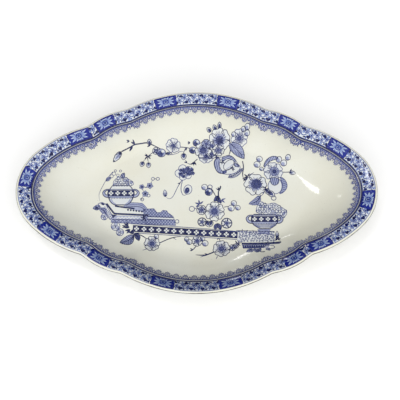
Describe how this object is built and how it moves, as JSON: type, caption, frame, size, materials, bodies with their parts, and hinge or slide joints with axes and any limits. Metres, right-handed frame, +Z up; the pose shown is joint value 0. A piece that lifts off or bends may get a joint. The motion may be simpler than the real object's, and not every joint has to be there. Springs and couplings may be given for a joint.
{
  "type": "serving platter",
  "caption": "Lobed pointed-oval china serving dish with a sloped rim, stepped shoulder, deep well and foot ring.",
  "frame": {"origin": "on the table under the middle of the dish", "axes": "+X to one tip, +Y to one long side, +Z up out of the well"},
  "size_m": [0.305, 0.18, 0.032],
  "materials": {
    "glazed_china": "glossy clear glaze over cream-white china, with blue transfer print",
    "foot_china": "glazed sides, bare ground base",
    "worn_gilt": "worn and dulled gilding"
  },
  "bodies": {
    "root": {"china_body": "glazed_china", "foot_ring": "foot_china", "rim_gilt_line": "worn_gilt", "shoulder_gilt_line": "worn_gilt"}
  },
  "joints": []
}
